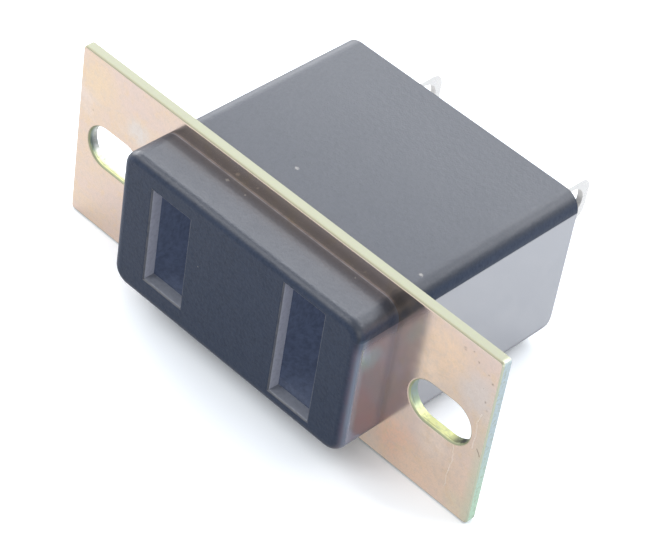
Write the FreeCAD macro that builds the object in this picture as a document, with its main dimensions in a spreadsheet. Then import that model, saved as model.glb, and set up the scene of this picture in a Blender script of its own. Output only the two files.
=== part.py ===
import FreeCAD, Part
import math
import os
import re
import Sketcher

# Two-pole panel outlet: a steel plate held between a nose cap and a contact housing.
# X runs along the plate, Y from the plug side to the wiring side, Z up.
# The origin is the centre of the plate's front face. Sizes are in millimetres.

SIZES = (
    ("plate_height", 15.0, "mounting plate, along Z"),
    ("plate_thickness", 0.8, "sheet thickness of the plate"),
    ("plate_corner", 0.35, "corner rounding of the plate's outline"),
    ("plate_roll", 0.2, "rolled front edge left by blanking"),
    ("hole_pitch", 32.0, "between the two mounting holes"),
    ("hole_length", 5.4, "mounting hole, along X"),
    ("hole_height", 3.4, "mounting hole, along Z"),
    ("end_margin", 1.3, "sheet between a hole and the plate's end"),
    ("cap_width", 22.7, "nose cap and housing, along X"),
    ("cap_height", 11.9, "nose cap, along Z"),
    ("cap_projection", 3.8, "nose cap, in front of the plate"),
    ("cap_wall", 0.9, "side wall of the nose cap"),
    ("face_wall", 1.0, "front wall of the nose cap"),
    ("corner_radius", 1.4, "long edges of the cap and the housing"),
    ("face_radius", 0.7, "edge round the cap's front face"),
    ("slot_pitch", 12.7, "between the centres of the blade slots"),
    ("slot_width", 3.7, "blade slots, along X"),
    ("short_slot", 8.1, "slot for the narrow blade, along Z"),
    ("slot_land", 0.05, "flat between the wide blade's slot rim and the rounded edge"),
    ("slot_rise", 0.1, "slot centres above the cap's centre"),
    ("slot_edge", 0.2, "rounded rim of the blade slots"),
    ("housing_depth", 17.15, "housing, behind the plate"),
    ("housing_height", 13.0, "housing, along Z"),
    ("rear_wall", 1.5, "rear wall of the housing"),
    ("heel_radius", 2.0, "lower rear edge of the housing"),
    ("collar_wall", 0.8, "wall of the collar that passes the plate"),
    ("collar_corner", 0.35, "corner rounding of the collar"),
    ("web_width", 4.0, "web between the two chambers"),
    ("chamber_reach", 7.5, "open chambers, behind the plate"),
    ("blade_thickness", 1.5, "plug blade that the contacts grip"),
    ("blade_grip", 0.1, "how far the spring leaf closes on the blade"),
    ("strip_thickness", 0.5, "sheet thickness of the contacts"),
    ("chamber_room", 0.2, "room above and below a contact in its chamber"),
    ("leaf_length", 12.9, "contact leaves, along Y"),
    ("bend_radius", 1.2, "fold of the strip, at mid thickness"),
    ("pinch_reach", 9.0, "from the fold's centre to the pinch"),
    ("flare_radius", 5.0, "flare of the spring leaf, at mid thickness"),
    ("lug_height", 4.1, "solder lug, along Z"),
    ("lug_corner", 1.3, "corner rounding of the lug's end"),
    ("lug_reach", 6.75, "solder lug, behind the housing"),
    ("lug_root", 0.6, "overlap of the lug with its leaf"),
    ("eye_rim", 0.55, "sheet left round the lug's wire eye"),
    ("lance_gap", 0.2, "shearing gap round the lanced lug"),
    ("slit_gap", 0.1, "room round the lug in the rear wall"),
    ("fit_gap", 0.05, "clearance between pieces that fit together"),
)

SHEET_NAME = "Sizes"
THROUGH_ALL = "ThroughAll"
CONSTANTS = ("pi",)
ON_PLANE = 1e-4
FIRST_GUESS = 1.0
HALF_TURN = 180
LEFT = "0 - "
RIGHT = ""

# Formulas for what follows from these sizes.
PLATE_LENGTH = "hole_pitch + hole_length + 2 * end_margin"
CAVITY_WIDTH = "cap_width - 2 * cap_wall"
CAVITY_HEIGHT = "cap_height - 2 * cap_wall"
CAVITY_DEPTH = "cap_projection - face_wall"
CAVITY_CORNER = "collar_corner + fit_gap"
TALL_SLOT = "cap_height - 2 * (face_radius + slot_land + slot_edge + slot_rise)"
COLLAR_WIDTH = f"{CAVITY_WIDTH} - 2 * fit_gap"
COLLAR_HEIGHT = f"{CAVITY_HEIGHT} - 2 * fit_gap"
CHAMBER_HEIGHT = f"{COLLAR_HEIGHT} - 2 * collar_wall"
CONTACT_HEIGHT = f"{CHAMBER_HEIGHT} - 2 * chamber_room"
HOUSING_RISE = "cap_height / 2 - housing_height / 2"
HALF_PITCH = "slot_pitch / 2"
LEAF_OFFSET = "blade_thickness / 2 + strip_thickness / 2"
FOLD_SETBACK = "bend_radius + strip_thickness / 2"
FOLD_MIDDLE = f"{LEAF_OFFSET} - bend_radius"
LUG_TIP = "rear_wall + fit_gap + lug_reach"
PINCH_OFFSET = "blade_thickness / 2 - blade_grip + strip_thickness / 2"


def in_sheet(formula):
    """Write a formula of size names as the document reads it."""
    def qualify(match):
        word = match.group(0)
        return word if word in CONSTANTS else f"{SHEET_NAME}.{word}"
    return re.sub(r"[a-z_]+", qualify, formula)


def bind(item, path, formula):
    item.setExpression(path, in_sheet(formula))


def make_sheet(doc):
    sheet = doc.addObject("Spreadsheet::Sheet", SHEET_NAME)
    for row, (alias, value, meaning) in enumerate(SIZES, start=1):
        sheet.set(f"A{row}", alias)
        sheet.set(f"B{row}", str(value))
        sheet.setAlias(f"B{row}", alias)
        sheet.set(f"C{row}", meaning)
    doc.recompute()
    return sheet


def make_body(doc, label):
    body = doc.addObject("PartDesign::Body", label)
    body.Label = label
    return body


def origin_plane(body, role):
    for item in body.Origin.OriginFeatures:
        if item.Role == role:
            return item
    raise ValueError(f"no plane {role}")


def make_sketch(body, name, role, offset=None):
    """Start a sketch on a plane of the body, moved along its normal by a formula."""
    sketch = body.newObject("Sketcher::SketchObject", name)
    sketch.AttachmentSupport = (origin_plane(body, role), [""])
    sketch.MapMode = "FlatFace"
    if offset:
        bind(sketch, "AttachmentOffset.Base.z", offset)
    return sketch


def size_constraint(sketch, name, formula, *geometry):
    """Add a measured constraint, at its present value, and bind it to a formula."""
    index = sketch.addConstraint(Sketcher.Constraint(*geometry))
    sketch.renameConstraint(index, name)
    bind(sketch, f"Constraints.{name}", formula)


def draw_rectangle(sketch, name, width, height, right="0", up="0"):
    """Draw a rectangle of the given size with its centre at right and up."""
    reach = FIRST_GUESS
    corners = [FreeCAD.Vector(x * reach, y * reach, 0) for x, y in ((-1, -1), (1, -1), (1, 1), (-1, 1))]
    lines = []
    for corner, following in zip(corners, corners[1:] + corners[:1]):
        lines.append(sketch.addGeometry(Part.LineSegment(corner, following), False))
    bottom, right_side, top, left_side = lines
    for line, following in zip(lines, lines[1:] + lines[:1]):
        sketch.addConstraint(Sketcher.Constraint("Coincident", line, 2, following, 1))
    for line in (bottom, top):
        sketch.addConstraint(Sketcher.Constraint("Horizontal", line))
    for line in (right_side, left_side):
        sketch.addConstraint(Sketcher.Constraint("Vertical", line))
    size_constraint(sketch, f"{name}_width", width, "DistanceX", bottom, 1, bottom, 2, 2 * reach)
    size_constraint(sketch, f"{name}_height", height, "DistanceY", right_side, 1, right_side, 2, 2 * reach)
    size_constraint(sketch, f"{name}_right", f"({right}) + ({width}) / 2", "DistanceX", -1, 1, top, 1, reach)
    size_constraint(sketch, f"{name}_up", f"({up}) + ({height}) / 2", "DistanceY", -1, 1, top, 1, reach)


def add_pad(body, name, sketch, length, reverse=False):
    pad = body.newObject("PartDesign::Pad", name)
    pad.Profile = sketch
    pad.Reversed = reverse
    bind(pad, "Length", length)
    body.Document.recompute()
    return pad


def add_pocket(body, name, sketch, length=None, reverse=False, both_ways=False):
    """Cut a sketch into the body, to a depth or right through, and see that it cuts."""
    before = body.Shape.Volume
    pocket = body.newObject("PartDesign::Pocket", name)
    pocket.Profile = sketch
    pocket.Reversed = reverse
    pocket.Midplane = both_ways
    if length:
        bind(pocket, "Length", length)
    else:
        pocket.Type = THROUGH_ALL
    body.Document.recompute()
    if not body.Shape.Volume < before:
        raise ValueError(f"{name} cuts nothing")
    return pocket


def add_fillet(body, name, edges, radius):
    solid = body.Tip
    fillet = body.newObject("PartDesign::Fillet", name)
    fillet.Base = (solid, edges)
    bind(fillet, "Radius", radius)
    body.Document.recompute()
    return fillet


def edge_names(shape, wanted):
    return [f"Edge{number}" for number, edge in enumerate(shape.Edges, start=1) if wanted(edge)]


def sharp_edges_along_y(shape):
    """Name the straight edges along Y where two flat faces meet."""
    def wanted(edge):
        if not isinstance(edge.Curve, Part.Line):
            return False
        if abs(edge.Curve.Direction.y) < 1 - ON_PLANE:
            return False
        faces = shape.ancestorsOfType(edge, Part.Face)
        return all(isinstance(face.Surface, Part.Plane) for face in faces)
    return edge_names(shape, wanted)


def edges_at_y(shape, level, wanted=lambda box: True):
    """Name the edges that lie in the plane at a level along Y."""
    def lies_there(edge):
        box = edge.BoundBox
        flat = abs(box.YMin - level) < ON_PLANE and abs(box.YMax - level) < ON_PLANE
        return flat and wanted(box)
    return edge_names(shape, lies_there)


def make_plate(doc, sheet):
    body = make_body(doc, "mounting_plate")
    outline = make_sketch(body, "plate_outline", "XZ_Plane")
    draw_rectangle(outline, "plate", PLATE_LENGTH, "plate_height")
    add_pad(body, "plate_sheet", outline, "plate_thickness", reverse=True)
    add_fillet(body, "plate_corners", sharp_edges_along_y(body.Shape), "plate_corner")

    window = make_sketch(body, "window_outline", "XZ_Plane")
    draw_rectangle(window, "window", CAVITY_WIDTH, CAVITY_HEIGHT)
    add_pocket(body, "window", window)
    add_fillet(body, "window_corners", sharp_edges_along_y(body.Shape), CAVITY_CORNER)

    hole = make_sketch(body, "hole_outline", "XZ_Plane")
    draw_round_slot(hole, sheet)
    cut = add_pocket(body, "hole", hole)
    holes = body.newObject("PartDesign::Mirrored", "hole_pair")
    holes.Originals = [cut]
    holes.MirrorPlane = (origin_plane(body, "YZ_Plane"), [""])
    body.Tip = holes
    doc.recompute()

    def clear_of_window(box):
        return abs(box.Center.x) > sheet.cap_width / 2 or abs(box.Center.z) > sheet.cap_height / 2
    add_fillet(body, "rolled_edge", edges_at_y(body.Shape, 0.0, clear_of_window), "plate_roll")
    return body


def draw_round_slot(sketch, sheet):
    """Draw a mounting hole with round ends, half the pitch from the middle."""
    radius = sheet.hole_height / 2
    reach = sheet.hole_length / 2 - radius
    middle = sheet.hole_pitch / 2
    up = FreeCAD.Vector(0, 0, 1)
    near, far = [FreeCAD.Vector(middle + side * reach, 0, 0) for side in (-1, 1)]
    lift = FreeCAD.Vector(0, radius, 0)
    bottom = sketch.addGeometry(Part.LineSegment(near - lift, far - lift), False)
    far_end = sketch.addGeometry(
        Part.ArcOfCircle(Part.Circle(far, up, radius), -math.pi / 2, math.pi / 2), False)
    top = sketch.addGeometry(Part.LineSegment(far + lift, near + lift), False)
    near_end = sketch.addGeometry(
        Part.ArcOfCircle(Part.Circle(near, up, radius), math.pi / 2, 3 * math.pi / 2), False)
    chain = (bottom, far_end, top, near_end)
    for piece, following in zip(chain, chain[1:] + chain[:1]):
        sketch.addConstraint(Sketcher.Constraint("Tangent", piece, 2, following, 1))
    sketch.addConstraint(Sketcher.Constraint("Horizontal", bottom))
    sketch.addConstraint(Sketcher.Constraint("Equal", far_end, near_end))
    centre_gap = "hole_length - hole_height"
    size_constraint(sketch, "end_radius", "hole_height / 2", "Radius", far_end, radius)
    size_constraint(sketch, "centre_gap", centre_gap, "DistanceX", near_end, 3, far_end, 3, 2 * reach)
    size_constraint(sketch, "far_centre", f"hole_pitch / 2 + ({centre_gap}) / 2",
                    "DistanceX", -1, 1, far_end, 3, middle + reach)
    sketch.addConstraint(Sketcher.Constraint("PointOnObject", far_end, 3, -1))


def make_cap(doc, sheet):
    body = make_body(doc, "front_cap")
    outline = make_sketch(body, "cap_outline", "XZ_Plane")
    draw_rectangle(outline, "cap", "cap_width", "cap_height")
    add_pad(body, "cap_block", outline, "cap_projection")
    add_fillet(body, "cap_corners", sharp_edges_along_y(body.Shape), "corner_radius")
    add_fillet(body, "face_edge", edges_at_y(body.Shape, -sheet.cap_projection), "face_radius")

    cavity = make_sketch(body, "cavity_outline", "XZ_Plane")
    draw_rectangle(cavity, "cavity", CAVITY_WIDTH, CAVITY_HEIGHT)
    add_pocket(body, "cavity", cavity, CAVITY_DEPTH, reverse=True)
    add_fillet(body, "cavity_corners", sharp_edges_along_y(body.Shape), CAVITY_CORNER)

    slots = make_sketch(body, "slot_outlines", "XZ_Plane")
    draw_rectangle(slots, "narrow_blade", "slot_width", "short_slot", f"{LEFT}{HALF_PITCH}", "slot_rise")
    draw_rectangle(slots, "wide_blade", "slot_width", TALL_SLOT, HALF_PITCH, "slot_rise")
    add_pocket(body, "blade_slots", slots, reverse=True)

    def round_a_slot(box):
        off_slot = abs(abs(box.Center.x) - sheet.slot_pitch / 2)
        return off_slot < sheet.slot_width / 2 + ON_PLANE
    add_fillet(body, "slot_rims", edges_at_y(body.Shape, -sheet.cap_projection, round_a_slot), "slot_edge")
    return body


def make_housing(doc, sheet):
    body = make_body(doc, "rear_housing")
    bind(body, "Placement.Base.y", "plate_thickness")
    outline = make_sketch(body, "housing_outline", "XZ_Plane")
    draw_rectangle(outline, "housing", "cap_width", "housing_height", up=HOUSING_RISE)
    add_pad(body, "housing_block", outline, "housing_depth", reverse=True)
    add_fillet(body, "housing_corners", sharp_edges_along_y(body.Shape), "corner_radius")

    heel = make_sketch(body, "heel_outline", "YZ_Plane")
    draw_heel(heel, sheet)
    add_pocket(body, "heel", heel, both_ways=True)

    collar = make_sketch(body, "collar_outline", "XZ_Plane")
    draw_rectangle(collar, "collar", COLLAR_WIDTH, COLLAR_HEIGHT)
    add_pad(body, "collar", collar, f"plate_thickness + {CAVITY_DEPTH} - fit_gap")
    collar_edges = sharp_edges_along_y(body.Shape)
    add_fillet(body, "collar_corners", collar_edges, "collar_corner")

    chamber_width = f"({COLLAR_WIDTH}) / 2 - collar_wall - web_width / 2"
    chamber_middle = f"web_width / 2 + ({chamber_width}) / 2"
    collar_front = f"plate_thickness + {CAVITY_DEPTH}"
    chambers = make_sketch(body, "chamber_outlines", "XZ_Plane", collar_front)
    pockets = make_sketch(body, "pocket_outlines", "XZ_Plane")
    slits = make_sketch(body, "slit_outlines", "XZ_Plane")
    for name, side in (("left", LEFT), ("right", RIGHT)):
        draw_rectangle(chambers, name, chamber_width, CHAMBER_HEIGHT, f"{side}({chamber_middle})")
        draw_rectangle(pockets, name, "2 * bend_radius + strip_thickness + 2 * fit_gap",
                       f"{CONTACT_HEIGHT} + 2 * fit_gap", f"{side}({HALF_PITCH} + {FOLD_MIDDLE})")
        draw_rectangle(slits, name, "strip_thickness + 2 * slit_gap", "lug_height + 2 * slit_gap",
                       f"{side}({HALF_PITCH} + {LEAF_OFFSET})")
    add_pocket(body, "chambers", chambers, f"{collar_front} + chamber_reach")
    add_pocket(body, "contact_pockets", pockets, "housing_depth - rear_wall")
    add_pocket(body, "lug_slits", slits)
    return body


def draw_heel(sketch, sheet):
    """Draw what is taken off the housing's lower rear edge to leave it round."""
    radius = sheet.heel_radius
    back = sheet.housing_depth
    low = sheet.cap_height / 2 - sheet.housing_height
    corner = FreeCAD.Vector(back, low, 0)
    under = FreeCAD.Vector(back - radius, low, 0)
    behind = FreeCAD.Vector(back, low + radius, 0)
    middle = FreeCAD.Vector(back - radius, low + radius, 0)
    circle = Part.Circle(middle, FreeCAD.Vector(0, 0, 1), radius)
    floor = sketch.addGeometry(Part.LineSegment(under, corner), False)
    wall = sketch.addGeometry(Part.LineSegment(corner, behind), False)
    arc = sketch.addGeometry(Part.ArcOfCircle(circle, -math.pi / 2, 0), False)
    sketch.addConstraint(Sketcher.Constraint("Coincident", floor, 2, wall, 1))
    sketch.addConstraint(Sketcher.Constraint("Horizontal", floor))
    sketch.addConstraint(Sketcher.Constraint("Vertical", wall))
    sketch.addConstraint(Sketcher.Constraint("Tangent", arc, 1, floor, 1))
    sketch.addConstraint(Sketcher.Constraint("Tangent", arc, 2, wall, 2))
    size_constraint(sketch, "heel", "heel_radius", "Radius", arc, radius)
    size_constraint(sketch, "back", "housing_depth", "DistanceX", -1, 1, wall, 1, back)
    size_constraint(sketch, "drop", "housing_height - cap_height / 2", "DistanceY", wall, 1, -1, 1, -low)


def make_contact(doc, sheet, label, side, turn):
    """Fold one strip into a fixed leaf, a spring leaf and a lug lanced from between them."""
    body = make_body(doc, label)
    body.Placement.Rotation = FreeCAD.Rotation(FreeCAD.Vector(0, 1, 0), turn)
    bind(body, "Placement.Base.x", f"{side}{HALF_PITCH}")
    bind(body, "Placement.Base.y", "plate_thickness + housing_depth - rear_wall - fit_gap")

    path = make_sketch(body, "strip_path", "XY_Plane")
    draw_strip_path(path, sheet)
    section = make_sketch(body, "strip_section", "XZ_Plane", "leaf_length")
    draw_rectangle(section, "strip", "strip_thickness", CONTACT_HEIGHT, LEAF_OFFSET)
    doc.recompute()
    strip = body.newObject("PartDesign::AdditivePipe", "folded_strip")
    strip.Profile = section
    strip.Spine = path
    doc.recompute()

    lance_height = "lug_height + 2 * lance_gap"
    fold = make_sketch(body, "fold_lance", "YZ_Plane")
    draw_rectangle(fold, "lance", FOLD_SETBACK, lance_height, f"0 - ({FOLD_SETBACK}) / 2")
    add_pocket(body, "fold_window", fold, both_ways=True)
    leaf_run = f"{LUG_TIP} + {FOLD_SETBACK} - pi * bend_radius"
    leaf = make_sketch(body, "leaf_lance", "YZ_Plane", FOLD_MIDDLE)
    draw_rectangle(leaf, "lance", leaf_run, lance_height, f"0 - ({FOLD_SETBACK}) - ({leaf_run}) / 2")
    add_pocket(body, "leaf_window", leaf)

    lug = make_sketch(body, "lug_outline", "YZ_Plane", "blade_thickness / 2")
    draw_lug(lug, sheet)
    add_pad(body, "solder_lug", lug, "strip_thickness")
    return body


def draw_strip_path(sketch, sheet):
    """Draw the strip's middle line: straight leaf, round fold, bowed leaf and flare."""
    up = FreeCAD.Vector(0, 0, 1)
    fixed = (sheet.blade_thickness + sheet.strip_thickness) / 2
    fold = -(sheet.bend_radius + sheet.strip_thickness / 2)
    front = -sheet.leaf_length
    spring = fixed - 2 * sheet.bend_radius
    pinch = sheet.blade_grip - fixed
    pinch_level = fold - sheet.pinch_reach
    lean = 2 * math.atan2(pinch - spring, sheet.pinch_reach)
    bow_radius = sheet.pinch_reach / math.sin(lean) - sheet.flare_radius
    flare = math.asin((pinch_level - front) / sheet.flare_radius)

    def arc(x, y, radius, start, end):
        circle = Part.Circle(FreeCAD.Vector(x, y, 0), up, radius)
        return sketch.addGeometry(Part.ArcOfCircle(circle, start, end), False)
    leaf = sketch.addGeometry(
        Part.LineSegment(FreeCAD.Vector(fixed, front, 0), FreeCAD.Vector(fixed, fold, 0)), False)
    bend = arc(fixed - sheet.bend_radius, fold, sheet.bend_radius, 0, math.pi)
    bow = arc(spring + bow_radius, fold, bow_radius, math.pi, math.pi + lean)
    tip = arc(pinch - sheet.flare_radius, pinch_level, sheet.flare_radius, -flare, lean)

    sketch.addConstraint(Sketcher.Constraint("Vertical", leaf))
    sketch.addConstraint(Sketcher.Constraint("Tangent", leaf, 2, bend, 1))
    sketch.addConstraint(Sketcher.Constraint("Tangent", bend, 2, bow, 1))
    sketch.addConstraint(Sketcher.Constraint("Tangent", bow, 2, tip, 2))
    sketch.addConstraint(Sketcher.Constraint("Horizontal", bend, 1, bend, 2))
    size_constraint(sketch, "leaf_offset", LEAF_OFFSET, "DistanceX", -1, 1, leaf, 1, fixed)
    size_constraint(sketch, "leaf_front", "leaf_length", "DistanceY", leaf, 1, -1, 1, -front)
    size_constraint(sketch, "fold_setback", FOLD_SETBACK, "DistanceY", leaf, 2, -1, 1, -fold)
    size_constraint(sketch, "bend", "bend_radius", "Radius", bend, sheet.bend_radius)
    size_constraint(sketch, "flare", "flare_radius", "Radius", tip, sheet.flare_radius)
    size_constraint(sketch, "flare_offset", f"{PINCH_OFFSET} + flare_radius",
                    "DistanceX", tip, 3, -1, 1, sheet.flare_radius - pinch)
    size_constraint(sketch, "pinch_level", f"{FOLD_SETBACK} + pinch_reach",
                    "DistanceY", tip, 3, -1, 1, -pinch_level)
    size_constraint(sketch, "tip_front", "leaf_length", "DistanceY", tip, 1, -1, 1, -front)


def draw_lug(sketch, sheet):
    """Draw the lug from the side: a tongue with rounded corners and an eye."""
    half = sheet.lug_height / 2
    radius = sheet.lug_corner
    root = -(sheet.bend_radius + sheet.strip_thickness / 2 + sheet.lug_root)
    tip = sheet.rear_wall + sheet.fit_gap + sheet.lug_reach
    turn = tip - radius
    inset = half - radius
    up = FreeCAD.Vector(0, 0, 1)

    def line(x0, y0, x1, y1):
        ends = FreeCAD.Vector(x0, y0, 0), FreeCAD.Vector(x1, y1, 0)
        return sketch.addGeometry(Part.LineSegment(*ends), False)

    def corner(y, first, last):
        circle = Part.Circle(FreeCAD.Vector(turn, y, 0), up, radius)
        return sketch.addGeometry(Part.ArcOfCircle(circle, first, last), False)
    lower = line(root, -half, turn, -half)
    low_corner = corner(-inset, -math.pi / 2, 0)
    end = line(tip, -inset, tip, inset)
    high_corner = corner(inset, 0, math.pi / 2)
    upper = line(turn, half, root, half)
    foot = line(root, half, root, -half)
    eye_circle = Part.Circle(FreeCAD.Vector(tip - half, 0, 0), up, half - sheet.eye_rim)
    eye = sketch.addGeometry(eye_circle, False)

    round_the_end = (lower, low_corner, end, high_corner, upper)
    for piece, following in zip(round_the_end, round_the_end[1:]):
        sketch.addConstraint(Sketcher.Constraint("Tangent", piece, 2, following, 1))
    sketch.addConstraint(Sketcher.Constraint("Coincident", upper, 2, foot, 1))
    sketch.addConstraint(Sketcher.Constraint("Coincident", foot, 2, lower, 1))
    sketch.addConstraint(Sketcher.Constraint("Horizontal", lower))
    sketch.addConstraint(Sketcher.Constraint("Horizontal", upper))
    sketch.addConstraint(Sketcher.Constraint("Vertical", end))
    sketch.addConstraint(Sketcher.Constraint("Equal", low_corner, high_corner))
    sketch.addConstraint(Sketcher.Constraint("Symmetric", foot, 1, foot, 2, -1))
    sketch.addConstraint(Sketcher.Constraint("PointOnObject", eye, 3, -1))
    size_constraint(sketch, "height", "lug_height", "DistanceY", foot, 2, foot, 1, 2 * half)
    size_constraint(sketch, "corner", "lug_corner", "Radius", low_corner, radius)
    size_constraint(sketch, "reach", LUG_TIP, "DistanceX", -1, 1, end, 1, tip)
    size_constraint(sketch, "root", f"{FOLD_SETBACK} + lug_root", "DistanceX", foot, 1, -1, 1, -root)
    size_constraint(sketch, "eye", "lug_height / 2 - eye_rim", "Radius", eye, half - sheet.eye_rim)
    size_constraint(sketch, "eye_back", f"{LUG_TIP} - lug_height / 2", "DistanceX", -1, 1, eye, 3, tip - half)


def check(doc, pieces):
    """Stop if any object of the document failed or a piece has no sound shape."""
    for item in doc.Objects:
        if "Invalid" in item.State or "Error" in item.State:
            raise ValueError(f"{item.Name} failed: {item.State}")
    for piece in pieces:
        shape = piece.Shape
        if shape.isNull() or not shape.isValid() or len(shape.Solids) != 1:
            raise ValueError(f"{piece.Label} has no sound solid")


def main():
    doc = FreeCAD.newDocument("panel_outlet")
    sheet = make_sheet(doc)
    pieces = [
        make_plate(doc, sheet),
        make_cap(doc, sheet),
        make_housing(doc, sheet),
        make_contact(doc, sheet, "contact_left", LEFT, HALF_TURN),
        make_contact(doc, sheet, "contact_right", RIGHT, 0),
    ]
    doc.recompute()
    check(doc, pieces)
    os.makedirs("parts", exist_ok=True)
    for piece in pieces:
        piece.Shape.exportStep(f"parts/{piece.Label}.step")
        print(f"{piece.Label}: {piece.Shape.Volume:.2f} mm3")


main()
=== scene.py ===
import math
from typing import NamedTuple

import bpy
from mathutils import Matrix, Vector

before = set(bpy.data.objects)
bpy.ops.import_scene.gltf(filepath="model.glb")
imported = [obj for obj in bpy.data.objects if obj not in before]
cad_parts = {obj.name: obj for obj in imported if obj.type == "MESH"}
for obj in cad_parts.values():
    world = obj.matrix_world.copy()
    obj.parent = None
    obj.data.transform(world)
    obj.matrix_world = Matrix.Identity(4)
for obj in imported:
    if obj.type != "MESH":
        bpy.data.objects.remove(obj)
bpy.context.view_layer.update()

MM = 0.001

# Camera, solved from corners in the photograph. Its place is in millimetres.
IMAGE_WIDTH = 666
FOCAL_PIXELS = 2581.0
SENSOR = 36.0
CLIP_START = 0.005
CAMERA_PLACE = (84.03, -99.46, 117.77)
CAMERA_RIGHT = (0.7019, 0.7008, 0.1275)
CAMERA_DOWN = (0.5423, -0.4096, -0.7337)
CAMERA_FORWARD = (-0.4619, 0.5841, -0.6675)

# Soft boxes: name, direction, distance, width, height and radiance. Lengths are in metres.
LAMPS = (
    ("overhead", (-0.30, 0.52, 0.80), 0.60, 0.50, 0.32, 4.9),
    ("back_right", (0.42, 0.58, 0.68), 0.60, 0.40, 0.26, 4.3),
    ("back", (-0.78, 0.58, 0.26), 0.60, 0.40, 0.22, 4.0),
    ("left", (-0.92, 0.10, 0.38), 0.60, 0.40, 0.36, 6.5),
    ("side", (0.90, -0.38, 0.22), 0.60, 0.44, 0.22, 2.8),
    ("front", (-0.46, -0.54, 0.70), 0.50, 0.28, 0.26, 3.2),
)
WORLD_AS_LIGHT = 0.45
WORLD_SEEN = 1.0

# White paper: its shade, glow and tint as the camera sees it, as a gloss shows it and as it sheds light.
FLOOR_LEVEL = -7.5 * MM
FLOOR_SIZE = 4.0
SHADOW_REACH = 6.0 * MM
SKY_SAMPLES = 16
PAPER_TINT = (0.955, 0.965, 1.0)
PAPER_SEEN_TINT = (0.905, 0.95, 1.0)
PAPER_SEEN = (1.0, 0.385, PAPER_SEEN_TINT, SHADOW_REACH)
PAPER_IN_GLOSS = (0.36, 0.46, PAPER_TINT)
PAPER_AS_LIGHT = (0.28, 0.0, PAPER_TINT)

# Specks: a place in millimetres and a radius. Their outline, in radii.
SPECK_SHAKE = 2.4
SPECK_EDGE = 0.8
SPECK_SOFT = 0.6
CAP_DUST = (
    ((-4.59, -0.51, 5.95), 0.14),
    ((-2.74, -0.59, 5.95), 0.07),
    ((7.56, -0.48, 5.95), 0.09),
    ((10.45, -0.10, 5.62), 0.16),
)
HOUSING_DUST = (
    ((-2.65, 4.22, 5.95), 0.16),
    ((10.0, 3.24, 5.95), 0.14),
)
PITS = (
    ((16.9, 0.0, 6.52), 0.14),
    ((17.62, 0.0, 6.76), 0.09),
    ((18.14, 0.0, 6.21), 0.10),
    ((19.52, 0.0, 5.35), 0.10),
    ((19.09, 0.0, 5.82), 0.06),
    ((19.3, 0.0, 3.54), 0.10),
    ((19.55, 0.0, 2.95), 0.08),
    ((18.9, 0.0, 4.5), 0.05),
)

# Thin lines on the plate's face, by the points in X and Z that they pass.
SCRATCH_WIDTH = 0.035 * MM
SCRATCHES = (
    ((17.68, -1.83), (17.80, -3.05), (17.60, -4.50), (17.70, -5.61)),
    ((19.24, 2.41), (19.03, 1.55), (19.15, 0.55), (19.08, -0.83)),
)
NICK_WIDTH = 0.05 * MM
NICKS = (((19.50, -0.60), (19.62, -0.80), (19.78, -1.05)),)

# Black plastic, on most sides, and painted bluer on the faces to the front and right, where painted haze
# stands in for glare.
BLACK = ((0.013, 0.021, 0.038), (0.017, 0.025, 0.043))
PAINTED_HAZE_BLACK = ((0.006, 0.022, 0.061), (0.009, 0.026, 0.068))
GRAIN = (0.027, 0.035, 0.055)
PAINTED_HAZE_GRAIN = (0.025, 0.045, 0.094)
CLOUD = (0.022, 0.030, 0.048)
PAINTED_HAZE_CLOUD = (0.022, 0.042, 0.092)
SHINE_TINT = (0.94, 0.94, 0.96)
PAINTED_HAZE_SHINE_TINT = (0.97, 0.89, 0.68)
DUST = (0.22, 0.22, 0.22)
RELIEF = 0.026 * MM
PLASTIC_INDEX = 1.5
POLISHED_ROUGHNESS = 0.2
END_ZONE = (10.2 * MM, 10.6 * MM)

# The two mouldings: specular level at the plate and at the rear, and where the noise of each starts.
CAP_SHEEN = (0.66, 0.66)
CAP_OFFSET = (0.0, 0.0, 0.0)
HOUSING_SHEEN = (0.51, 0.71)
HOUSING_OFFSET = (0.31, 0.17, 0.23)
SHEEN_RUN = 18.0 * MM

# Painted light on the nose (lit slot walls, a highlight on the slot rims, a streak and a reflection spot on
# its ends), and painted light with a glow inside the housing behind its slots.
SLOT_SIDE_PAINTED_LIGHT = (0.48, 0.50, 0.59)
SLOT_FLOOR_PAINTED_LIGHT = (0.30, 0.32, 0.37)
SLOT_RIM_PAINTED_HIGHLIGHT = (0.14, 0.15, 0.175)
PAINTED_EDGE_STREAK = (0.11, 0.17, 0.26)
PAINTED_REFLECTION_SPOT = (0.04, 0.17, 0.23)
PAINTED_REFLECTION_PLACE = (11.35, -2.15, 2.5)
SEAM = (0.165, 0.175, 0.21)
PAINTED_INSIDE_LIGHT = (0.05, 0.06, 0.085)
PAINTED_HAZE_GLOW = (0.042, 0.054, 0.090)

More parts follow.
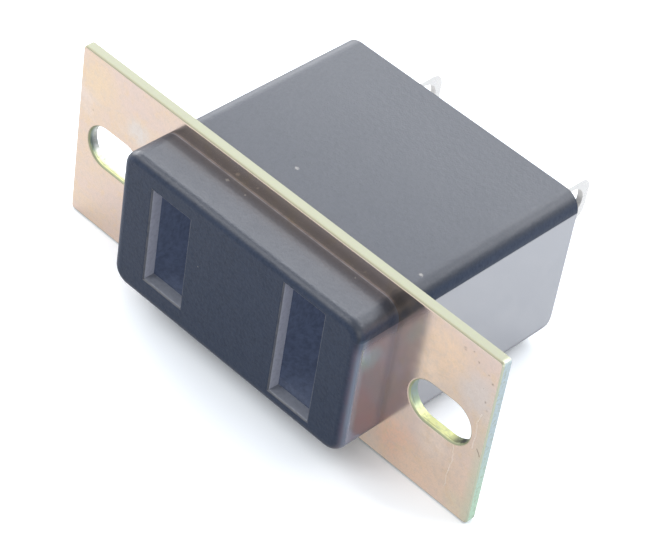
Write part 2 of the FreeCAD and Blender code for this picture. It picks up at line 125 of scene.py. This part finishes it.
# The film on the plate's face: its ramp, and clouds by place, reach and colour; the clouds on the right
# half also carry painted light.
FILM = (
    (0.28, (0.78, 0.66, 0.60)),
    (0.45, (0.83, 0.67, 0.58)),
    (0.58, (0.85, 0.68, 0.53)),
    (0.72, (0.86, 0.73, 0.64)),
)
FILM_CLOUDS_AND_PAINTED_LIGHT = (
    ((-18.2, 0.0, 5.3), 2.6, (0.88, 0.70, 0.50)),
    ((-13.8, 0.0, 3.6), 1.6, (0.80, 0.75, 0.70)),
    # The clouds on the right half are partly painted light, raised to offset the shaded floor that the face
    # mirrors there.
    ((18.0, 0.0, -5.5), 5.0, (0.92, 0.73, 0.58)),
    ((15.5, 0.0, 5.0), 3.0, (0.97, 0.74, 0.54)),
    ((14.0, 0.0, 2.7), 2.2, (1.0, 0.79, 0.60)),
    ((18.7, 0.0, 3.6), 2.6, (0.80, 0.72, 0.66)),
    ((16.0, 0.0, -2.7), 2.2, (0.95, 0.79, 0.66)),
    ((12.9, 0.0, -5.0), 2.8, (0.99, 0.67, 0.50)),
    ((15.0, 0.0, -6.0), 2.4, (0.95, 0.72, 0.55)),
    ((18.8, 0.0, -6.5), 1.6, (0.86, 0.75, 0.58)),
)
FILM_WARM = (0.87, 0.67, 0.47)
FILM_DULL = (0.72, 0.62, 0.56)
FILM_GREEN = (0.66, 0.72, 0.56)
FILM_SPECK = (0.62, 0.48, 0.38)
PIT = (0.32, 0.24, 0.19)
SCRATCH = (0.93, 0.88, 0.80)
WAVE = 0.0004 * MM

# The plate's edges and hole walls, by the share that they face right; that share makes them lighter or
# darker: painted light and shade, with a painted highlight on the hole walls.
OUTER_EDGE_PAINTED_LIGHT = (
    (0.15, (0.20, 0.22, 0.16)),
    (0.5, (0.355, 0.365, 0.285)),
    (0.75, (0.80, 0.83, 0.68)),
    (0.97, (0.55, 0.66, 0.70)),
)
OUTER_LOW = (0.57, 0.78, 0.62)
HOLE_WALL_PAINTED_LIGHT = (
    (0.22, (0.05, 0.055, 0.04)),
    (0.36, (0.20, 0.22, 0.13)),
    (0.5, (0.62, 0.64, 0.32)),
    (0.70, (0.90, 0.92, 0.50)),
    (0.88, (0.38, 0.47, 0.34)),
    (1.0, (0.31, 0.39, 0.39)),
)
# Painted light on the left hole walls.
PALE_PAINTED_LIGHT = (0.80, 0.82, 0.79)
BREAK_LINE = (0.20, 0.19, 0.10)
EDGE_MOTTLE = (0.36, 0.40, 0.27)
# The rolled rim: painted pale on the sides, painted shade on top and below.
RIM_SIDE_PAINTED_LIGHT = (0.60, 0.64, 0.50)
RIM_TOP_PAINTED_SHADE = (0.40, 0.39, 0.28)
RIM_BOTTOM_PAINTED_SHADE = (0.34, 0.32, 0.25)
RIM_HOLE = (0.40, 0.43, 0.28)

TIN = ((0.78, 0.79, 0.78), (0.87, 0.87, 0.85))
TIN_CUT = (0.80, 0.79, 0.77)


class EndsWithPaintedLight(NamedTuple):
    """A moulding's glossier ends with painted light: where the polish fades upwards, their painted colours,
    tint and index.
    """

    fade: tuple
    colour: tuple
    painted_light_blotch: tuple
    tint: tuple
    index: float


# End colours are painted light: on the nose a painted reddish reflection of the plate, on the housing a
# pale painted reflection of the bright floor.
CAP_ENDS_PAINTED_LIGHT = EndsWithPaintedLight(
    fade=(3.3 * MM, 4.7 * MM),
    colour=(0.075, 0.020, 0.065),
    painted_light_blotch=(0.025, 0.045, 0.085),
    tint=(0.92, 0.90, 1.0),
    index=2.5,
)
HOUSING_ENDS_PAINTED_LIGHT = EndsWithPaintedLight(
    fade=(4.3 * MM, 5.1 * MM),
    colour=(0.168, 0.183, 0.223),
    painted_light_blotch=(0.222, 0.237, 0.272),
    tint=(0.93, 0.96, 1.0),
    index=2.9,
)


class Nodes:
    """A material's node tree, with short calls for the nodes it is made of."""

    def __init__(self, name):
        self.material = bpy.data.materials.new(name)
        self.material.use_nodes = True
        self.tree = self.material.node_tree
        self.shader = self.tree.nodes["Principled BSDF"]
        self.place = self.tree.nodes.new("ShaderNodeTexCoord").outputs["Object"]

    def put(self, socket, value):
        if isinstance(value, bpy.types.NodeSocket):
            self.tree.links.new(value, socket)
        else:
            socket.default_value = value

    def math(self, operation, *values, clamp=False):
        node = self.tree.nodes.new("ShaderNodeMath")
        node.operation = operation
        node.use_clamp = clamp
        for socket, value in zip(node.inputs, values):
            self.put(socket, value)
        return node.outputs[0]

    def moved(self, offset):
        node = self.tree.nodes.new("ShaderNodeMapping")
        self.put(node.inputs["Vector"], self.place)
        node.inputs["Location"].default_value = offset
        return node.outputs[0]

    def noise(self, size, detail=3.0, rough=0.55, place=None, warp=0.0):
        node = self.tree.nodes.new("ShaderNodeTexNoise")
        self.put(node.inputs["Vector"], place or self.place)
        node.inputs["Scale"].default_value = 1.0 / size
        node.inputs["Detail"].default_value = detail
        node.inputs["Roughness"].default_value = rough
        node.inputs["Distortion"].default_value = warp
        return node.outputs["Fac"]

    def cells(self, size, place=None):
        node = self.tree.nodes.new("ShaderNodeTexVoronoi")
        self.put(node.inputs["Vector"], place or self.place)
        node.inputs["Scale"].default_value = 1.0 / size
        return node.outputs["Distance"], node.outputs["Color"]

    def fit(self, value, low, high, to_low=0.0, to_high=1.0):
        node = self.tree.nodes.new("ShaderNodeMapRange")
        node.interpolation_type = "SMOOTHSTEP"
        self.put(node.inputs["Value"], value)
        for key, number in zip(("From Min", "From Max", "To Min", "To Max"), (low, high, to_low, to_high)):
            node.inputs[key].default_value = number
        return node.outputs["Result"]

    def ramp(self, value, *stops):
        node = self.tree.nodes.new("ShaderNodeValToRGB")
        self.put(node.inputs["Fac"], value)
        elements = node.color_ramp.elements
        while len(elements) < len(stops):
            elements.new(0.5)
        for element, (position, colour) in zip(elements, stops):
            element.position = position
            element.color = (*colour, 1.0)
        return node.outputs["Color"]

    def between(self, value, dark, light):
        """From the dark to the light colour over the middle of a noise."""
        return self.ramp(value, (0.3, dark), (0.7, light))

    def mix(self, share, first, second):
        node = self.tree.nodes.new("ShaderNodeMix")
        node.data_type = "RGBA"
        self.put(node.inputs["Factor"], share)
        for socket, value in zip((node.inputs[6], node.inputs[7]), (first, second)):
            self.put(socket, (*value, 1.0) if isinstance(value, tuple) else value)
        return node.outputs[2]

    def mix_number(self, share, first, second):
        node = self.tree.nodes.new("ShaderNodeMix")
        for socket, value in zip((node.inputs[0], node.inputs[2], node.inputs[3]), (share, first, second)):
            self.put(socket, value)
        return node.outputs[0]

    def split(self, vector):
        node = self.tree.nodes.new("ShaderNodeSeparateXYZ")
        self.put(node.inputs[0], vector)
        return node.outputs

    def normal(self):
        """The surface's direction in the part's own frame."""
        node = self.tree.nodes.new("ShaderNodeVectorTransform")
        node.vector_type = "NORMAL"
        node.convert_from = "WORLD"
        node.convert_to = "OBJECT"
        self.put(node.inputs[0], self.tree.nodes.new("ShaderNodeNewGeometry").outputs["Normal"])
        return node.outputs[0]

    def size(self, value):
        return self.math("ABSOLUTE", value)

    def bump(self, height, depth):
        node = self.tree.nodes.new("ShaderNodeBump")
        node.inputs["Strength"].default_value = 1.0
        node.inputs["Distance"].default_value = depth
        self.put(node.inputs["Height"], height)
        return node.outputs["Normal"]

    def product(self, first, *others):
        for value in others:
            first = self.math("MULTIPLY", first, value)
        return first

    def below(self, value, level, soft):
        return self.fit(value, level - soft, level + soft, 1.0, 0.0)

    def within(self, value, low, high, soft):
        return self.product(self.fit(value, low - soft, low + soft), self.below(value, high, soft))

    def from_point(self, point):
        """Distance from a point that is given in millimetres."""
        node = self.tree.nodes.new("ShaderNodeVectorMath")
        node.operation = "DISTANCE"
        self.put(node.inputs[0], self.place)
        node.inputs[1].default_value = [number * MM for number in point]
        return node.outputs["Value"]

    def from_line(self, x, z, start, end):
        """Distance from a straight line between two points in the X-Z plane."""
        run, rise = ((to - at) * MM for at, to in zip(start, end))
        over = self.math("SUBTRACT", x, start[0] * MM)
        above = self.math("SUBTRACT", z, start[1] * MM)
        part = self.math("ADD", self.product(over, run), self.product(above, rise))
        part = self.math("DIVIDE", part, run * run + rise * rise, clamp=True)
        aside = self.math("SUBTRACT", over, self.product(part, run))
        off = self.math("SUBTRACT", above, self.product(part, rise))
        return self.math("SQRT", self.math("ADD", self.product(aside, aside), self.product(off, off)))

    def specks(self, points):
        """1 on each of the listed specks, which are given as a place and a radius."""
        total = 0.0
        uneven = self.math("SUBTRACT", self.noise(0.12 * MM, detail=2.0), 0.5)
        for point, radius in points:
            reach = radius * MM
            distance = self.math("MULTIPLY_ADD", uneven, SPECK_SHAKE * reach, self.from_point(point))
            speck = self.below(distance, SPECK_EDGE * reach, SPECK_SOFT * reach)
            total = self.math("MAXIMUM", total, speck)
        return total

    def strokes(self, lines, width):
        """1 along thin, slightly shaky lines in the X-Z plane, each given by the points that it passes."""
        x, _, z = self.split(self.place)
        shake = self.product(self.math("SUBTRACT", self.noise(0.6 * MM), 0.5), 0.25 * MM)
        x = self.math("ADD", x, shake)
        total = 0.0
        for line in lines:
            for start, end in zip(line, line[1:]):
                stroke = self.below(self.from_line(x, z, start, end), width, 0.5 * width)
                total = self.math("MAXIMUM", total, stroke)
        return total

    def finish(self, **sockets):
        for name, value in sockets.items():
            self.put(self.shader.inputs[name.replace("_", " ")], value)
        return self.material


def end_zone(n):
    """1 at the left and right ends of the mouldings."""
    return n.fit(n.size(n.split(n.place)[0]), *END_ZONE)


def painted_haze_share(n):
    """1 on what faces the front or the right, where the black is painted bluer: painted haze."""
    across, forward, _ = n.split(n.normal())
    return n.math("MAXIMUM", n.below(forward, -0.75, 0.2), n.fit(across, 0.7, 0.95))


def polish_and_painted_light_share(n, fade):
    """How far the ends are glossier and painted lighter: less towards the top, with painted shade next to
    the plate, and less on the left.
    """
    across, _, up = n.split(n.normal())
    x, y, z = n.split(n.place)
    sideways = n.size(across)
    turned = n.math("ADD", n.fit(sideways, 0.15, 0.95, 0.0, 0.5), n.fit(sideways, 0.95, 1.0, 0.0, 0.5))
    on_right = n.fit(x, -MM, MM, 0.25, 1.0)
    off_plate = n.fit(n.size(y), 0.15 * MM, 0.9 * MM, 0.75, 1.0)
    off_top = n.fit(z, *fade, 1.0, 0.3)
    return n.product(end_zone(n), turned, n.below(up, 0.03, 0.03), on_right, off_plate, off_top)


def black_colour(n, place, painted_haze):
    """Black with a slow drift, a fine grain, small clouds and scattered dust."""
    drift = n.noise(3.0 * MM, place=place)
    # Faces to the front and right take bluer colours: painted haze.
    colour = n.mix(painted_haze, n.between(drift, *BLACK), n.between(drift, *PAINTED_HAZE_BLACK))
    grain = n.fit(n.noise(0.22 * MM, detail=3.0, place=place), 0.35, 0.65, 0.0, 0.6)
    colour = n.mix(grain, colour, n.mix(painted_haze, GRAIN, PAINTED_HAZE_GRAIN))
    cloud = n.fit(n.noise(0.5 * MM, detail=2.0, place=place), 0.35, 0.65, 0.0, 0.4)
    colour = n.mix(cloud, colour, n.mix(painted_haze, CLOUD, PAINTED_HAZE_CLOUD))
    distance, random = n.cells(1.6 * MM, place)
    near = n.fit(distance, 0.02, 0.045, 1.0, 0.0)
    chosen = n.fit(n.split(random)[0], 0.97, 0.98)
    return n.mix(n.product(near, chosen), colour, DUST)


def sheen_level(n, sheen):
    """The specular level: it can grow towards the rear, and is less on sides and just before the plate."""
    up = n.split(n.normal())[2]
    y = n.split(n.place)[1]
    band = n.within(y, -0.95 * MM, -0.20 * MM, 0.25 * MM)
    dull = n.fit(band, 0.0, 1.0, 1.0, 0.68)
    return n.product(n.fit(y, 0.0, SHEEN_RUN, *sheen), n.fit(up, 0.2, 0.9, 0.64, 1.0), dull)


def moulded_plastic(name, offset, sheen, ends):
    """Black satin moulding with a fine grain and glossier ends that carry painted light: its nodes, its
    colour and its roughness.
    """
    n = Nodes(name)
    place = n.moved(offset)
    # Share of painted haze: bluer black and a warmer shine tint on faces to the front and right.
    painted_haze = painted_haze_share(n)
    polish_and_painted_light = polish_and_painted_light_share(n, ends.fade)
    painted_light_drift = n.fit(n.noise(2.2 * MM, place=place), 0.3, 0.7, 0.85, 1.0)
    painted_light_blotch = n.fit(n.noise(1.3 * MM, detail=6.0, rough=0.75, place=place), 0.35, 0.65)
    painted_end_light = n.mix(painted_light_blotch, ends.colour, ends.painted_light_blotch)
    # Painted light on the ends: a paler or tinted colour where they are glossier.
    colour = n.mix(n.product(polish_and_painted_light, painted_light_drift), black_colour(n, place, painted_haze), painted_end_light)
    rough = n.fit(n.noise(1.4 * MM, place=place), 0.3, 0.7, 0.38, 0.41)
    rough = n.mix_number(polish_and_painted_light, rough, POLISHED_ROUGHNESS)
    grained = n.math("SUBTRACT", 1.0, n.product(polish_and_painted_light, 0.9))
    relief = n.product(grained, n.noise(0.3 * MM, detail=4.0, rough=0.6, place=place))
    tint = n.mix(painted_haze, SHINE_TINT, PAINTED_HAZE_SHINE_TINT)
    n.finish(Specular_Tint=n.mix(n.fit(polish_and_painted_light, 0.0, 0.3), tint, ends.tint),
             Specular_IOR_Level=n.mix_number(polish_and_painted_light, sheen_level(n, sheen), 1.0),
             IOR=n.fit(polish_and_painted_light, 0.0, 1.0, PLASTIC_INDEX, ends.index),
             Normal=n.bump(relief, RELIEF))
    return n, colour, rough


def painted_slot_light(n, colour):
    """Painted light in the two blade slots: lighter walls, upright ones lighter than the floor, and a
    painted highlight on the rims.
    """
    x, _, z = n.split(n.place)
    _, forward, up = n.split(n.normal())
    facing = n.size(forward)
    across = n.within(n.size(x), 4.3 * MM, 8.4 * MM, 0.05 * MM)
    upright = n.below(n.size(z), 5.15 * MM, 0.05 * MM)
    wall = n.below(facing, 0.5, 0.1)
    # Painted light on the slot walls, paler on the upright walls than on the floor.
    painted_lit_walls = n.product(wall, across, upright, n.fit(n.noise(0.3 * MM), 0.3, 0.6, 0.84, 1.0))
    colour = n.mix(painted_lit_walls, colour, n.mix(n.fit(up, 0.3, 0.7), SLOT_SIDE_PAINTED_LIGHT, SLOT_FLOOR_PAINTED_LIGHT))
    # Painted highlight along the slot rims.
    rim = n.product(n.within(facing, 0.35, 0.93, 0.05), across, upright,
                    n.fit(n.noise(0.7 * MM), 0.3, 0.6, 0.4, 0.8))
    return n.mix(rim, colour, SLOT_RIM_PAINTED_HIGHLIGHT)


def painted_end_highlights(n, colour):
    """A painted highlight streak along the nose's upright end edges, and a painted reflection spot on the
    right end.
    """
    _, y, z = n.split(n.place)
    across, _, up = n.split(n.normal())
    at_end = end_zone(n)
    # Painted highlight streak on the upright edges of the nose's ends.
    painted_streak = n.product(n.within(y, -3.6 * MM, -2.8 * MM, 0.25 * MM), n.fit(n.size(across), 0.6, 0.95),
                     n.below(up, 0.1, 0.1), at_end, n.fit(n.size(z), 2.6 * MM, 4.0 * MM, 1.0, 0.65))
    colour = n.mix(painted_streak, colour, PAINTED_EDGE_STREAK)
    # Painted reflection spot on the right end.
    painted_spot = n.product(n.fit(n.from_point(PAINTED_REFLECTION_PLACE), 0.4 * MM, 1.4 * MM, 1.0, 0.0), at_end,
                       n.fit(n.noise(0.4 * MM), 0.3, 0.6, 0.7, 1.0))
    return n.mix(painted_spot, colour, PAINTED_REFLECTION_SPOT)


def plate_seam(n, colour):
    """A broken pale line along the nose's top, where it meets the plate."""
    y = n.split(n.place)[1]
    up = n.split(n.normal())[2]
    seam = n.product(n.within(y, -0.10 * MM, 0.0, 0.04 * MM), n.fit(up, 0.8, 0.95),
                     n.fit(n.noise(1.5 * MM), 0.35, 0.65, 0.5, 1.0))
    return n.mix(seam, colour, SEAM)


def cap_plastic():
    """The nose: painted light in its slots and on its ends, a seam at the plate and some dust."""
    n, colour, rough = moulded_plastic("cap_plastic_look", CAP_OFFSET, CAP_SHEEN, CAP_ENDS_PAINTED_LIGHT)
    colour = plate_seam(n, painted_end_highlights(n, painted_slot_light(n, colour)))
    colour = n.mix(n.product(n.specks(CAP_DUST), 0.7), colour, DUST)
    return n.finish(Base_Color=colour, Roughness=rough)


def hollow_share(n):
    """1 inside the housing."""
    x, y, z = n.split(n.place)
    return n.product(n.below(n.size(x), 9.75 * MM, 0.02 * MM), n.below(n.size(z), 5.02 * MM, 0.01 * MM),
                     n.below(y, 16.5 * MM, 0.02 * MM))


def housing_plastic():
    """The block behind the plate: dust on its top, and inside a rougher surface with a painted lighter
    colour and a painted glow.
    """
    n, colour, rough = moulded_plastic("housing_plastic_look", HOUSING_OFFSET, HOUSING_SHEEN, HOUSING_ENDS_PAINTED_LIGHT)
    painted_glow_inside = hollow_share(n)
    # Painted light inside: a lighter colour and a faint glow stand in for haze.
    colour = n.mix(painted_glow_inside, colour, PAINTED_INSIDE_LIGHT)
    colour = n.mix(n.specks(HOUSING_DUST), colour, DUST)
    uneven = n.fit(n.noise(0.4 * MM, detail=4.0, rough=0.7), 0.3, 0.7, 0.7, 1.12)
    return n.finish(Emission_Color=(*PAINTED_HAZE_GLOW, 1.0), Emission_Strength=n.product(painted_glow_inside, uneven),
                    Base_Color=colour, Roughness=n.math("MAXIMUM", rough, n.product(painted_glow_inside, 0.8)))


def film_tint(n):
    """The thin yellow film on the plate's face, with clouds of other tints, painted lighter on the right
    half.
    """
    colour = n.ramp(n.noise(7.0 * MM, detail=4.0, warp=0.5), *FILM)
    for place, reach, tint in FILM_CLOUDS_AND_PAINTED_LIGHT:
        near = n.fit(n.from_point(place), 0.2 * reach * MM, reach * MM, 1.0, 0.0)
        uneven = n.fit(n.noise(1.8 * MM), 0.2, 0.6, 0.7, 1.0)
        colour = n.mix(n.product(near, uneven), colour, tint)
    return colour


def film_mottle(n, colour):
    """Small stains in the film, from warm patches to fine specks, and a greener right edge."""
    x, _, z = n.split(n.place)
    warm = n.noise(1.1 * MM, detail=4.0, place=n.moved((0.05, 0.0, 0.02)))
    colour = n.mix(n.fit(warm, 0.48, 0.72, 0.0, 0.6), colour, FILM_WARM)
    dull = n.noise(0.6 * MM, detail=4.0, rough=0.65, place=n.moved((0.01, 0.0, 0.07)))
    colour = n.mix(n.fit(dull, 0.42, 0.68, 0.0, 0.35), colour, FILM_DULL)
    green = n.product(n.fit(x, 19.0 * MM, 19.8 * MM), n.below(z, 0.0, 4.0 * MM), 0.6)
    colour = n.mix(green, colour, FILM_GREEN)
    fine = n.noise(0.16 * MM, detail=2.0)
    return n.mix(n.fit(fine, 0.3, 0.7, 0.0, 0.14), colour, FILM_SPECK)


def film_marks(n):
    """1 in the film's pits and nicks."""
    distance, random = n.cells(0.9 * MM)
    scattered = n.product(n.fit(distance, 0.05, 0.12, 1.0, 0.0), n.fit(n.split(random)[1], 0.84, 0.85),
                          n.fit(n.noise(5.0 * MM), 0.45, 0.6), 0.25)
    listed = n.product(n.specks(PITS), n.fit(n.noise(0.2 * MM), 0.3, 0.7, 0.2, 0.8))
    nicks = n.product(n.strokes(NICKS, NICK_WIDTH), 0.6)
    return n.math("MAXIMUM", n.math("MAXIMUM", scattered, listed), nicks)


def hole_share(n):
    """1 on the walls and rims of the mounting holes."""
    x, _, z = n.split(n.place)
    return n.product(n.below(n.size(z), 1.95 * MM, 0.1 * MM), n.below(n.size(x), 19.5 * MM, 0.1 * MM))


def outer_edge(n, across, aside):
    """The edges of the plate's outline, painted lighter or darker by the way they face, greener low on the
    right.
    """
    z = n.split(n.place)[2]
    low = n.product(n.below(z, -2.5 * MM, 4.0 * MM), n.fit(across, 0.8, 0.95))
    # Painted light and shade: the colour follows the way each edge faces.
    return n.mix(low, n.ramp(aside, *OUTER_EDGE_PAINTED_LIGHT), OUTER_LOW)


def hole_wall(n, aside):
    """The walls of the mounting holes, painted lighter or darker by the way they face: a line where the
    sheet broke, and painted light on the rear half on the left.
    """
    x, y, _ = n.split(n.place)
    # Painted light on the rear half of the left hole walls.
    painted_light_half = n.product(n.below(x, 0.0, MM), n.fit(y, 0.2 * MM, 0.6 * MM))
    wall = n.mix(painted_light_half, n.ramp(aside, *HOLE_WALL_PAINTED_LIGHT), PALE_PAINTED_LIGHT)
    middle = n.within(y, 0.24 * MM, 0.30 * MM, 0.03 * MM)
    broken = n.product(middle, n.fit(n.noise(0.9 * MM), 0.35, 0.6), 0.6)
    return n.mix(broken, wall, BREAK_LINE)


def rolled_rim(n, in_hole):
    """The rolled front edge of the outline and of the holes, painted pale on the sides and darker on top
    and below: painted light and shade.
    """
    up = n.split(n.normal())[2]
    # Painted light on the sides of the rim, painted shade on top and below.
    rim = n.mix(n.fit(up, 0.3, 0.6), RIM_SIDE_PAINTED_LIGHT, RIM_TOP_PAINTED_SHADE)
    rim = n.mix(n.below(up, -0.4, 0.1), rim, RIM_BOTTOM_PAINTED_SHADE)
    return n.mix(in_hole, rim, RIM_HOLE)


def sheared_colour(n):
    """The plate's edges and hole walls, painted lighter or darker by the way they face, with a rolled rim.
    """
    across, forward, _ = n.split(n.normal())
    aside = n.math("MULTIPLY_ADD", across, 0.5, 0.5)
    in_hole = hole_share(n)
    edge = n.mix(in_hole, outer_edge(n, across, aside), hole_wall(n, aside))
    edge = n.mix(n.fit(n.noise(0.25 * MM), 0.45, 0.7, 0.0, 0.5), edge, EDGE_MOTTLE)
    return n.mix(n.below(n.size(forward), 0.25, 0.1), rolled_rim(n, in_hole), edge)


def chromated_steel():
    """Bright zinc under a thin yellow film, with sheared edges and scratches."""
    n = Nodes("plate_steel_look")
    across, forward, _ = n.split(n.normal())
    sideways = n.size(across)
    front = n.fit(n.size(forward), 0.80, 0.99)
    scratched = n.strokes(SCRATCHES, SCRATCH_WIDTH)
    face = n.mix(film_marks(n), film_mottle(n, film_tint(n)), PIT)
    face = n.mix(n.product(scratched, 0.45), face, SCRATCH)
    smooth = n.fit(n.noise(1.2 * MM), 0.3, 0.7, 0.14, 0.18)
    smooth = n.math("ADD", smooth, n.product(scratched, 0.3))
    rough = n.mix_number(front, n.fit(sideways, 0.3, 0.8, 0.7, 0.45), smooth)
    metal = n.math("MAXIMUM", front, n.fit(sideways, 0.3, 0.8, 0.3, 0.9))
    wave = n.bump(n.noise(0.5 * MM, detail=2.0), WAVE)
    colour = n.mix(front, sheared_colour(n), face)
    return n.finish(Base_Color=colour, Roughness=rough, Metallic=metal, Normal=wave)


def tinned_brass():
    """Bright tin on the contacts, duller where the strip was cut."""
    n = Nodes("contact_brass_look")
    colour = n.between(n.noise(2.0 * MM), *TIN)
    cut = n.below(n.size(n.split(n.normal())[0]), 0.5, 0.15)
    colour = n.mix(cut, colour, TIN_CUT)
    rough = n.math("MULTIPLY_ADD", cut, 0.25, n.fit(n.noise(0.8 * MM), 0.3, 0.7, 0.22, 0.36))
    return n.finish(Base_Color=colour, Roughness=rough, Metallic=1.0)


def dress(node, material):
    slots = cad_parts[node].data.materials
    slots.clear()
    slots.append(material)


def seen_directly(tree):
    """1 where the camera, a gloss or a clear piece shows a surface, and the camera's own share of that."""
    path = tree.nodes.new("ShaderNodeLightPath")
    share = path.outputs["Is Camera Ray"]
    for name in ("Is Glossy Ray", "Is Transmission Ray"):
        node = tree.nodes.new("ShaderNodeMath")
        node.operation = "MAXIMUM"
        tree.links.new(share, node.inputs[0])
        tree.links.new(path.outputs[name], node.inputs[1])
        share = node.outputs[0]
    return share, path.outputs["Is Camera Ray"]


def open_share(tree, reach, glow):
    """The glow, less the share of the sky that is hidden by what stands within the reach."""
    sky = tree.nodes.new("ShaderNodeAmbientOcclusion")
    sky.samples = SKY_SAMPLES
    sky.inputs["Distance"].default_value = reach
    strength = tree.nodes.new("ShaderNodeMath")
    strength.operation = "MULTIPLY"
    tree.links.new(sky.outputs["AO"], strength.inputs[0])
    strength.inputs[1].default_value = glow
    return strength.outputs[0]


def paper(tree, shade, glow, tint, reach=0.0):
    """White paper with a share of its brightness that only a close object, within the reach, takes away."""
    lit = tree.nodes.new("ShaderNodeBsdfDiffuse")
    lit.inputs["Color"].default_value = (*(shade * part for part in tint), 1.0)
    shine = tree.nodes.new("ShaderNodeEmission")
    shine.inputs["Color"].default_value = (*tint, 1.0)
    shine.inputs["Strength"].default_value = glow
    if reach:
        tree.links.new(open_share(tree, reach, glow), shine.inputs["Strength"])
    total = tree.nodes.new("ShaderNodeAddShader")
    tree.links.new(lit.outputs[0], total.inputs[0])
    tree.links.new(shine.outputs[0], total.inputs[1])
    return total.outputs[0]


def choose(tree, share, first, second):
    node = tree.nodes.new("ShaderNodeMixShader")
    for socket, value in zip(node.inputs, (share, first, second)):
        tree.links.new(value, socket)
    return node.outputs[0]


def floor_paper():
    """White paper that shows white where it is in the light and keeps the object's shadow."""
    material = bpy.data.materials.new("floor_paper")
    material.use_nodes = True
    tree = material.node_tree
    tree.nodes.clear()
    directly, by_camera = seen_directly(tree)
    shown = choose(tree, by_camera, paper(tree, *PAPER_IN_GLOSS), paper(tree, *PAPER_SEEN))
    end = tree.nodes.new("ShaderNodeOutputMaterial")
    tree.links.new(choose(tree, directly, paper(tree, *PAPER_AS_LIGHT), shown), end.inputs["Surface"])
    return material


def make_floor():
    bpy.ops.mesh.primitive_plane_add(size=FLOOR_SIZE, location=(0, 0, FLOOR_LEVEL))
    floor = bpy.context.object
    floor.name = "floor"
    floor.data.materials.append(floor_paper())


def make_world():
    world = bpy.data.worlds.new("studio")
    bpy.context.scene.world = world
    world.use_nodes = True
    tree = world.node_tree
    strength = tree.nodes.new("ShaderNodeMapRange")
    tree.links.new(seen_directly(tree)[0], strength.inputs["Value"])
    strength.inputs["To Min"].default_value = WORLD_AS_LIGHT
    strength.inputs["To Max"].default_value = WORLD_SEEN
    background = tree.nodes["Background"]
    background.inputs["Color"].default_value = (1.0, 1.0, 1.0, 1.0)
    tree.links.new(strength.outputs["Result"], background.inputs["Strength"])


def make_lamp(name, direction, distance, width, height, radiance):
    """A soft box that faces the object, with its brightness as the eye sees it."""
    data = bpy.data.lights.new(name, "AREA")
    data.shape = "RECTANGLE"
    data.size = width
    data.size_y = height
    data.energy = radiance * math.pi * width * height
    lamp = bpy.data.objects.new(name, data)
    bpy.context.scene.collection.objects.link(lamp)
    way = Vector(direction).normalized()
    lamp.location = way * distance
    lamp.rotation_mode = "QUATERNION"
    lamp.rotation_quaternion = way.to_track_quat("Z", "Y")


def make_camera():
    data = bpy.data.cameras.new("camera")
    data.sensor_width = SENSOR
    data.lens = FOCAL_PIXELS / IMAGE_WIDTH * SENSOR
    data.clip_start = CLIP_START
    camera = bpy.data.objects.new("camera", data)
    bpy.context.scene.collection.objects.link(camera)
    axes = Matrix((Vector(CAMERA_RIGHT), -Vector(CAMERA_DOWN), -Vector(CAMERA_FORWARD)))
    place = Matrix.Translation(Vector(CAMERA_PLACE) * MM)
    camera.matrix_world = place @ axes.transposed().to_4x4()
    bpy.context.scene.camera = camera


dress("front_cap", cap_plastic())
dress("rear_housing", housing_plastic())
dress("mounting_plate", chromated_steel())
tin = tinned_brass()
dress("contact_left", tin)
dress("contact_right", tin)

make_floor()
make_world()
for lamp in LAMPS:
    make_lamp(*lamp)
make_camera()
bpy.context.scene.view_settings.view_transform = "Standard"
